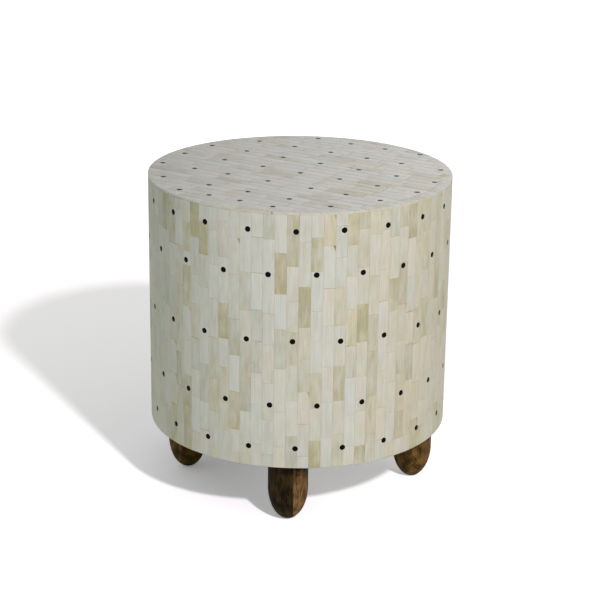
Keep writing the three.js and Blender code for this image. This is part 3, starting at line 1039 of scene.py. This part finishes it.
side_filler_finish = filler_finish("joint_filler_side", dirt_and_shade=0.05)
top_filler_finish = filler_finish("joint_filler_top", dirt_and_shade=0.5)
ring_sides = 4 * column_count
inner = drum_radius - bone_thickness + filler_room
outer = drum_radius - filler_depth
low, high = side_low[2] + filler_depth, top_low[2]
points, faces = revolve([(outer, low), (outer, high), (inner, high), (inner, low)], ring_sides)
side_filler = new_piece("side_joint_filler", points, faces, side_filler_finish, flat_sets=(0,))
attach(side_filler, "root")
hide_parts("side_inlay")

low, high = top_low[2] + filler_room, top_high[2] - filler_depth
outer = drum_radius - rim_setback
points, faces = revolve([(0, low), (outer, low), (outer, high), (0, high)], ring_sides)
top_filler = new_piece("top_joint_filler", points, faces, top_filler_finish, flat_sets=(0, 1, 2))
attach(top_filler, "root")
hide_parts("top_inlay")

# %% [markdown]
# ## Black resin
# The strips lie in a bed of black resin, and after they are glued, holes are drilled through them and filled
# with the same resin. Ground flush and polished, it reads as small, nearly black dots with a faint cool
# glint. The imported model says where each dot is: the points of its outer face stand in small clusters, and
# the middle of each cluster is a dot. A few tenths of a millimetre of wander make them hand-drilled.

# %% Black resin
dot_radius = 4 * MM
dot_sides = 20
dot_proud = 0.03 * MM
dot_ease = 0.15 * MM
dot_wander = 0.5 * MM
dot_seed = 8
dot_back = bone_thickness - 0.1 * MM
bed_thickness = 1.2 * MM
bed_drop = 0.05 * MM


def resin_finish(name, glint):
    """Filled resin: nearly black, satin, with polishing scratches and a few grey pores. glint scales its
    mirror light."""
    material, tree, shader = new_material(name, IOR=1.52, Specular_IOR_Level=glint)
    place = on_piece(tree)
    patch = noise(tree, place, (0.004, 0.004, 0.004), 3)
    pores = use(tree, flecks, {"Vector": place, "Cell": 0.0014, "Blot": 0.12, "Share": 0.3})["Mask"]
    colour = tint(tree, reach(tree, patch, -1, 1), (0.001, 0.001, 0.002, 1.0), (0.003, 0.003, 0.004, 1.0))
    colour = tint(tree, scaled(tree, pores, 0.06), colour, shade(92, 88, 82))
    lines = use(tree, scratches, {"Vector": place, "Width": 0.0004, "Length": 0.006})["Mask"]
    rough = scaled(tree, lines, 0.15, reach(tree, patch, -1, 1, 0.22, 0.34))
    surface(tree, shader, colour, rough, calc(tree, "SUBTRACT", patch, pores), 0.02 * MM)
    return material


def cluster_middles(points, apart):
    """Middle of each cluster of points, where points of one cluster are less than that distance apart."""
    gaps = np.linalg.norm(points[:, None] - points[None], axis=-1)
    label = (gaps < apart).argmax(1)
    kinds, label = np.unique(label, return_inverse=True)
    middles = np.zeros((len(kinds), 3))
    np.add.at(middles, label, points)
    return middles / np.bincount(label)[:, None]


def node_points(node):
    """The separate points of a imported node, in metres."""
    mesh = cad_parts[node].data
    points = np.empty(len(mesh.vertices) * 3, np.float32)
    mesh.vertices.foreach_get("co", points)
    return np.unique(points.reshape(-1, 3).astype(float).round(5), axis=0)


def dot_net(across, along, place):
    """Points and faces of the dots: a middle point, three rings, and a back."""
    turn = np.linspace(0, 2 * math.pi, dot_sides, endpoint=False)
    rings = [(dot_radius - dot_ease, -dot_proud), (dot_radius, dot_ease / 2), (dot_radius, dot_back)]
    radius = np.concatenate([[0]] + [np.full(dot_sides, ring[0]) for ring in rings])
    depth = np.concatenate([[-dot_proud]] + [np.full(dot_sides, ring[1]) for ring in rings])
    turns = np.concatenate([[0], turn, turn, turn])
    across = across[:, None] + radius * np.cos(turns)
    along = along[:, None] + radius * np.sin(turns)
    points = place(across, along, depth + 0 * across)
    number = 1 + np.arange(3 * dot_sides).reshape(3, dot_sides)
    after = np.roll(number, -1, axis=1)
    cap = np.stack([0 * number[0], number[0], after[0]], -1)
    walls = np.stack([number[:-1], number[1:], after[1:], after[:-1]], -1).reshape(-1, 4)
    back = number[2][::-1][None]
    return points.reshape(-1, 3), repeat_faces((cap, walls, back), len(across), 1 + 3 * dot_sides)


def join_nets(*nets):
    """Puts several nets of points and faces together as one."""
    points = np.vstack([net[0] for net in nets])
    firsts = np.cumsum([0] + [len(net[0]) for net in nets])[:-1]
    return points, [faces + first for net, first in zip(nets, firsts) for faces in net[1]]


side_finish = resin_finish("black_resin_side", glint=0.06)
top_finish = resin_finish("black_resin_top", glint=0.08)
draw = np.random.default_rng(dot_seed)

side_points = node_points("side_resin")
on_face = np.hypot(side_points[:, 0], side_points[:, 1]) > drum_radius - bone_thickness / 2
side_dots = cluster_middles(side_points[on_face], 3 * dot_radius)
turn = np.arctan2(side_dots[:, 0], -side_dots[:, 1])
across = turn * drum_radius + draw.normal(0, dot_wander, len(side_dots))
along = side_dots[:, 2] + draw.normal(0, dot_wander, len(side_dots))
bed_inner = resin_outer - bed_thickness
low, high = side_low[2], side_high[2]
bed = [(resin_outer, low), (resin_outer, high), (bed_inner, high), (bed_inner, low)]
points, faces = join_nets(revolve(bed, ring_sides), dot_net(across, along, on_side))
side_resin = new_piece("side_black_resin", points, faces, side_finish, flat_sets=(0, 3))
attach(side_resin, "root")
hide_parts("side_resin")

top_points = node_points("top_resin")
on_face = top_points[:, 2] > top_high[2] - bone_thickness / 2
top_dots = cluster_middles(top_points[on_face], 3 * dot_radius)
across = top_dots[:, :2] @ top_across + draw.normal(0, dot_wander, len(top_dots))
along = top_dots[:, :2] @ top_along + draw.normal(0, dot_wander, len(top_dots))
resin_low, resin_high = corners("top_resin")
bed_top = top_low[2] - bed_drop
bed = [(0, resin_low[2]), (resin_high[0], resin_low[2]), (resin_high[0], bed_top), (0, bed_top)]
points, faces = join_nets(revolve(bed, ring_sides), dot_net(across, along, on_top))
top_resin = new_piece("top_black_resin", points, faces, top_finish, flat_sets=(0, 1, 2, 5))
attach(top_resin, "root")
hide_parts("top_resin")
print(len(side_dots), "dots in the side,", len(top_dots), "in the top")

# %% [markdown]
# ## Turned feet
# Each foot is turned from a blank glued up of two boards, then stained and waxed. The profile is a flat sole,
# half an ellipse and a straight shank up to the drum. Carried round, with a few hundredths of a millimetre of
# tool marks and a slight hand-sanded wander, it replaces the coarse solid. Each foot carries its place in the
# blank as an attribute, so that the rings and the glue line run through it as they do through real wood.

# %% Wood figure
pore_stretch = 24


def wood_figure_group():
    """Growth rings round an axis that lies beside the piece, and pores along the grain. The blank's own
    place goes in, with the grain along Z."""
    inputs = {
        "Vector": ("Vector", (0, 0, 0)),
        "Ring": ("Float", 0.003),
        "Wobble": ("Float", 0.004),
        "Pore": ("Float", 0.0005),
    }
    results = dict.fromkeys(("Rings", "Pores", "Mottle"), "Float")
    group, given, out = new_group("wood figure", inputs, results)
    vector = given["Vector"]
    bend = noise(group, vector, (0.02, 0.02, 0.06), 3)
    flat = add(group, "VectorMath", {0: vector, 1: (1, 1, 0.12)}, operation="MULTIPLY").outputs[0]
    distance = add(group, "VectorMath", {0: flat}, operation="LENGTH").outputs["Value"]
    distance = scaled(group, bend, given["Wobble"], distance)
    phase = calc(group, "DIVIDE", distance, given["Ring"])
    wave = calc(group, "SINE", scaled(group, phase, 2 * math.pi))
    join(group, reach(group, wave, -1, 1), out["Rings"])
    pore_size = combined(group, given["Pore"], given["Pore"], scaled(group, given["Pore"], pore_stretch))
    join(group, reach(group, noise(group, vector, pore_size, 1), 0.35, 0.8), out["Pores"])
    join(group, reach(group, noise(group, vector, (0.011, 0.011, 0.02), 4), -1, 1), out["Mottle"])
    return group


wood_figure = wood_figure_group()
print("group:", wood_figure.name)


# %% Stained wood of the feet
# How far beside the blank's axis the middle of the growth rings lies, and how much further for the second
# board. Then half the widths of the change from board to board and of the glue line.
ring_middle = (0.035, 0.02)
second_board_shift = 0.05
board_change = 0.2 * MM
seam_reach = 0.25 * MM


def foot_finish(name, first_board, second_board, glue_line, ring):
    """Stained wood of a blank of two boards. Each board is a pair of colours, dark and light, and they meet
    at glue_line across the blank, in metres from its axis."""
    material, tree, shader = new_material(name, IOR=1.47, Specular_IOR_Level=0.06)
    blank = attribute(tree, "blank", "Vector")
    x = split(tree, blank)[0]
    second = reach(tree, x, glue_line - board_change, glue_line + board_change)
    shift = combined(tree, ring_middle[0], scaled(tree, second, second_board_shift, ring_middle[1]), 0.0)
    placed = add(tree, "VectorMath", {0: blank, 1: shift}, operation="ADD").outputs[0]
    figure = use(tree, wood_figure, {"Vector": placed, "Ring": ring, "Wobble": 0.006, "Pore": 0.0006})
    blend = scaled(tree, figure["Rings"], 0.3, figure["Mottle"])
    blend = reach(tree, blend, 0.35, 1.05)
    first = tint(tree, blend, *first_board)
    other = tint(tree, blend, *second_board)
    colour = tint(tree, second, first, other)
    colour = tint(tree, scaled(tree, figure["Pores"], 0.35), colour, shade(20, 14, 7))
    seam = calc(tree, "COMPARE", x, glue_line, seam_reach)
    colour = tint(tree, scaled(tree, seam, 0.5), colour, shade(24, 16, 10))
    # Painted shade: the edge mask darkens the top of the foot, where the drum's shadow falls, and the wood
    # towards the sole.
    dirt_and_shade = {"Color": colour, "Worn and shaded": shade(22, 16, 8), "Mask": attribute(tree, "edge"), "Vector": blank}
    colour = use(tree, rubbed_and_shaded, {**dirt_and_shade, "Size": (0.016, 0.016, 0.016), "Amount": 0.9})["Color"]
    rough = scaled(tree, figure["Pores"], 0.15, scaled(tree, figure["Mottle"], 0.14, 0.4))
    height = calc(tree, "SUBTRACT", scaled(tree, figure["Rings"], 0.3), figure["Pores"])
    surface(tree, shader, colour, rough, height, 0.06 * MM)
    return material


# %% Turned feet
foot_sides = 64
foot_round_steps = 30
foot_round_length = 48 * MM
foot_flat_radius = 6 * MM
foot_shank_steps = 12
# Heights in millimetres of the two waves that sanding left and of the two of tool marks, how many tool marks
# go up the foot, and how much sanding took off in millimetres.
sway_heights = (0.10, 0.06)
mark_heights = (0.03, 0.02)
mark_counts = (23, 41)
sanded_off = 0.15
foot_seed = 4


def foot_profile(radius, height):
    """Radius and height of the foot. On the round part they are radius times sin q and length times
    (cos q0 - cos q). The angle q runs from q0, where it is as narrow as the sole, up to a quarter turn. The
    top edge is eased by the edge width."""
    first = math.asin(foot_flat_radius / radius)
    angle = np.linspace(first, math.pi / 2, foot_round_steps)
    round_part = np.stack([radius * np.sin(angle), foot_round_length * (math.cos(first) - np.cos(angle))], -1)
    shank_height = np.linspace(round_part[-1, 1], height - edge_width, foot_shank_steps)[1:]
    shank = np.stack([0 * shank_height + radius, shank_height], -1)
    return np.vstack([[0, 0], round_part, shank, [radius - edge_width, height], [0, height]])


def make_foot(name, turn_to_glue, material, draw):
    """One foot on its own axis, with its place in the blank turned so that x runs across the glue line. Its
    edge value darkens the wood towards the sole, and under the drum it paints the drum's shade on the foot."""
    low, high = corners(f"foot_{name}")
    radius, height = (high[0] - low[0]) / 2, high[2]
    centre = (low + high)[:2] / 2
    profile = foot_profile(radius, height)
    points, faces = revolve(profile, foot_sides, centre)
    off = points[:, :2] - centre
    turn, up_share = np.arctan2(off[:, 0], -off[:, 1]), points[:, 2] / height
    phase = draw.uniform(0, 2 * math.pi, 4)
    sway = sway_heights @ np.sin([2 * turn + phase[0] + 3 * up_share, 3 * turn + phase[1] - 5 * up_share])
    marks = mark_heights @ np.sin(2 * math.pi * np.outer(mark_counts, up_share) + phase[2:, None])
    growth = 1 + (sway + marks - sanded_off) * MM / radius * np.clip(4 * up_share, 0, 1)
    points[:, :2] = centre + off * growth[:, None]
    piece = new_piece(f"turned_foot_{name}", points, faces, material)
    across = off @ [math.cos(turn_to_glue), math.sin(turn_to_glue)]
    deep = off @ [-math.sin(turn_to_glue), math.cos(turn_to_glue)]
    carry(piece, "blank", np.stack([across, deep, points[:, 2]], -1), kind="FLOAT_VECTOR")
    # Darker towards the sole, and painted shade of the drum at the top of the foot.
    carry(piece, "edge", np.clip(0.3 - 2 * up_share, 0, 1) + np.clip(6 * up_share - 4.15, 0, 1.7))
    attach(piece, "root")
    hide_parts(f"foot_{name}")
    return piece


dark_board = (shade(21, 17, 8), shade(64, 51, 30))
mid_board = (shade(62, 45, 24), shade(147, 113, 75))
olive_board = (shade(52, 40, 12), shade(100, 80, 36))
brown_board = (shade(56, 42, 17), shade(130, 101, 58))
# Each foot: its first and its second board, how far the glue line lies from its axis as a share of its
# radius, the turn of the glue line, and the width of a growth ring.
foot_boards = {
    "front": (dark_board, mid_board, 0.26, 0.0, 3.2 * MM),
    "right": (brown_board, brown_board, -0.6, 0.5, 2.6 * MM),
    "back": (mid_board, dark_board, 0.1, 0.9, 3.0 * MM),
    "left": (brown_board, olive_board, -0.45, 0.2, 3.0 * MM),
}
draw = np.random.default_rng(foot_seed)
for name, (first, second, glue_share, turn, ring) in foot_boards.items():
    low, high = corners(f"foot_{name}")
    glue_line = glue_share * (high[0] - low[0]) / 2
    make_foot(name, turn, foot_finish(f"stained_wood_{name}", first, second, glue_line, ring), draw)

# %% [markdown]
# ## The carcass inside
# The plywood shell, the board discs, the battens, the blocks and the metal fastenings keep their packed
# solids: their shapes are right, and all but the shell's lower edge, the dark base and its screws lie hidden.
# Each still gets the finish of its own stuff, at its real grain.

# %% Finishes of the carcass
ply_thickness = 1.3 * MM


def plywood_finish(name, layers):
    """Birch plywood. layers says how far a point is through the sheet, in metres."""
    material, tree, shader = new_material(name)
    place = on_piece(tree)
    ply = calc(tree, "PINGPONG", layers(tree, place), ply_thickness)
    grain = noise(tree, place, (0.0015, 0.0015, 0.04), 3)
    dark = scaled(tree, reach(tree, ply, 0.55 * MM, 0.75 * MM), 0.55, scaled(tree, grain, 0.2))
    colour = tint(tree, dark, shade(205, 176, 134), shade(160, 122, 82))
    surface(tree, shader, colour, reach(tree, grain, -1, 1, 0.55, 0.75), grain, 0.1 * MM)
    return material


def through_shell(tree, place):
    """Distance from the drum's axis."""
    flat = add(tree, "VectorMath", {0: place, 1: (1, 1, 0)}, operation="MULTIPLY").outputs[0]
    return add(tree, "VectorMath", {0: flat}, operation="LENGTH").outputs["Value"]


def through_block(tree, place):
    """Height."""
    return split(tree, place)[2]


def board_finish():
    """Raw fibreboard: brown felted fibres with paler specks."""
    material, tree, shader = new_material("fibreboard")
    place = on_piece(tree)
    fibre = noise(tree, place, (0.0012, 0.0012, 0.0006), 4)
    cloud = noise(tree, place, (0.04, 0.04, 0.02), 2)
    blend = scaled(tree, cloud, 0.3, reach(tree, fibre, -1, 1))
    colour = tint(tree, blend, shade(143, 110, 76), shade(183, 150, 108))
    surface(tree, shader, colour, reach(tree, fibre, -1, 1, 0.75, 0.9), fibre, 0.08 * MM)
    return material


def painted_finish():
    """Matt dark paint over board, brushed, with dust and rubbed spots."""
    material, tree, shader = new_material("painted_board")
    place = on_piece(tree)
    brush = noise(tree, place, (0.05, 0.0012, 0.01), 3)
    colour = tint(tree, reach(tree, brush, -1, 1), shade(24, 21, 18), shade(38, 34, 30))
    worn = {"Color": colour, "Worn and shaded": shade(96, 84, 70), "Mask": 1.0, "Vector": place, "Amount": 0.22}
    patches = use(tree, rubbed_and_shaded, {**worn, "Size": (0.05, 0.04, 0.03)})
    rough = scaled(tree, patches["Mask"], 0.6, reach(tree, brush, -1, 1, 0.5, 0.66))
    surface(tree, shader, patches["Color"], rough, brush, 0.08 * MM)
    return material


def steel_finish():
    """Zinc-plated steel: pale grey, faintly yellow in patches, with handling scratches."""
    material, tree, shader = new_material("zinc_steel", Metallic=1.0)
    place = on_piece(tree)
    patch = noise(tree, place, (0.004, 0.004, 0.004), 3)
    colour = tint(tree, reach(tree, patch, -1, 1), shade(170, 170, 168), shade(198, 192, 176))
    lines = use(tree, scratches, {"Vector": place, "Width": 0.0003, "Length": 0.005})["Mask"]
    rough = scaled(tree, lines, 0.2, reach(tree, patch, -1, 1, 0.28, 0.42))
    surface(tree, shader, colour, rough, calc(tree, "ADD", lines, patch), 0.02 * MM)
    return material


bent_plywood = plywood_finish("bent_plywood", through_shell)
block_plywood = plywood_finish("block_plywood", through_block)
fibreboard = board_finish()
painted_board = painted_finish()
zinc_steel = steel_finish()
print("finishes of the carcass: 5")

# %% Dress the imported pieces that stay
node_finishes = {
    "shell_": bent_plywood,
    "batten_": bent_plywood,
    "foot_block_": block_plywood,
    "middle_ring": fibreboard,
    "top_panel": fibreboard,
    "base_panel": painted_board,
    "base_screw_": zinc_steel,
    "top_screw_": zinc_steel,
    "tee_nut_": zinc_steel,
    "hanger_bolt_": zinc_steel,
}
replaced = {"side_inlay", "top_inlay", "side_resin", "top_resin"} | {f"foot_{name}" for name in foot_boards}
for node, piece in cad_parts.items():
    if node in replaced:
        continue
    finish = next(finish for start, finish in node_finishes.items() if node.startswith(start))
    for slot in piece.material_slots:
        slot.material = finish
print("dressed", len(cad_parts) - len(replaced), "packed pieces")
